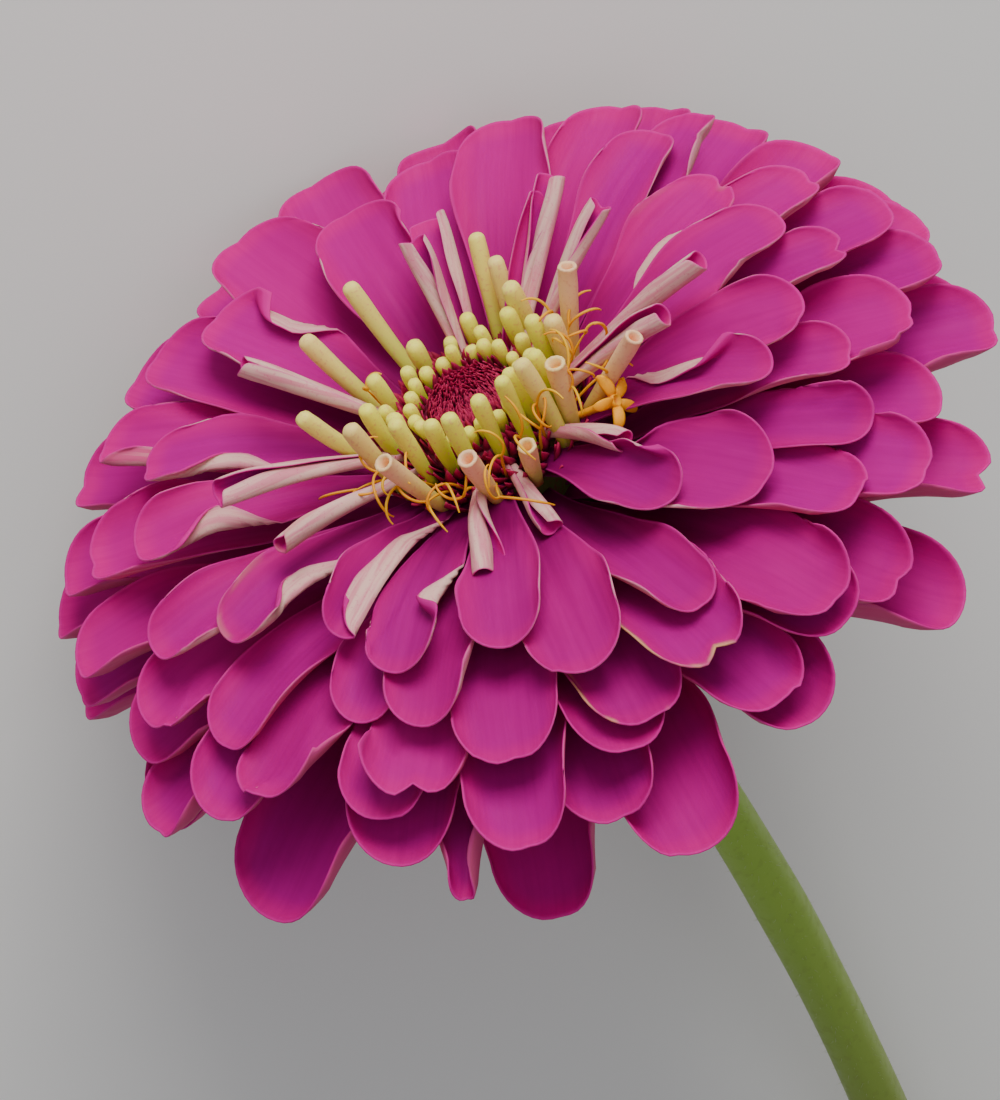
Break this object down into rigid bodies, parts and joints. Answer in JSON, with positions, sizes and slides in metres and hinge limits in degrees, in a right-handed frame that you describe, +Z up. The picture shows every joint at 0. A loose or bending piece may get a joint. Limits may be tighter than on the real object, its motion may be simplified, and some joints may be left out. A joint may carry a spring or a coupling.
{
  "type": "zinnia flower",
  "caption": "Cut double zinnia bloom on its stem, lying on its side, with overlapping magenta ray florets and a ring of cream buds round a dark disc.",
  "frame": {"origin": "on the ground, under the centre of the flower's bounding box", "axes": "+X from the cut end of the stem towards the face of the bloom, +Y to its left side, +Z up from the ground it lies on"},
  "size_m": [0.1612, 0.0996, 0.0889],
  "materials": {
    "petal_magenta": "soft satin petal, deep magenta with a thin paler edge and a cream-pink underside",
    "rolled_cream_pink": "matt cream to pale pink, flecked with peach",
    "bud_cream": "matt yellow-green at the foot to cream at the tip",
    "chaff_crimson": "fringed, matt dark crimson",
    "disc_yellow": "soft golden yellow",
    "stem_green": "finely ribbed and downy, satin green"
  },
  "bodies": {
    "root": {"stem": "stem_green", "receptacle": "stem_green", "involucre": "stem_green", "ray_floret_01": "petal_magenta", "ray_floret_02": "petal_magenta", "ray_floret_03": "petal_magenta", "ray_floret_04": "petal_magenta", "ray_floret_05": "petal_magenta", "ray_floret_06": "petal_magenta", "ray_floret_07": "petal_magenta", "ray_floret_08": "petal_magenta", "ray_floret_09": "petal_magenta", "ray_floret_10": "petal_magenta", "ray_floret_11": "petal_magenta", "ray_floret_12": "petal_magenta", "ray_floret_13": "petal_magenta", "ray_floret_14": "petal_magenta", "ray_floret_15": "petal_magenta", "ray_floret_16": "petal_magenta", "ray_floret_17": "petal_magenta", "ray_floret_18": "petal_magenta", "ray_floret_19": "petal_magenta", "ray_floret_20": "petal_magenta", "ray_floret_21": "petal_magenta", "ray_floret_22": "petal_magenta", "ray_floret_23": "petal_magenta", "ray_floret_24": "petal_magenta", "ray_floret_25": "petal_magenta", "ray_floret_26": "petal_magenta", "ray_floret_27": "petal_magenta", "ray_floret_28": "petal_magenta", "ray_floret_29": "petal_magenta", "ray_floret_30": "petal_magenta", "ray_floret_31": "petal_magenta", "ray_floret_32": "petal_magenta", "ray_floret_33": "petal_magenta", "ray_floret_34": "petal_magenta", "ray_floret_35": "petal_magenta", "ray_floret_36": "petal_magenta", "ray_floret_37": "petal_magenta", "ray_floret_38": "petal_magenta", "ray_floret_39": "petal_magenta", "ray_floret_40": "petal_magenta", "ray_floret_41": "petal_magenta", "ray_floret_42": "petal_magenta", "ray_floret_43": "petal_magenta", "ray_floret_44": "petal_magenta", "ray_floret_45": "petal_magenta", "ray_floret_46": "petal_magenta", "ray_floret_47": "petal_magenta", "ray_floret_48": "petal_magenta", "ray_whorl_1": "petal_magenta", "ray_whorl_2": "petal_magenta", "rolled_florets": "rolled_cream_pink", "bud_cluster": "bud_cream", "disc_chaff": "chaff_crimson", "disc_floret": "disc_yellow"}
  },
  "joints": []
}
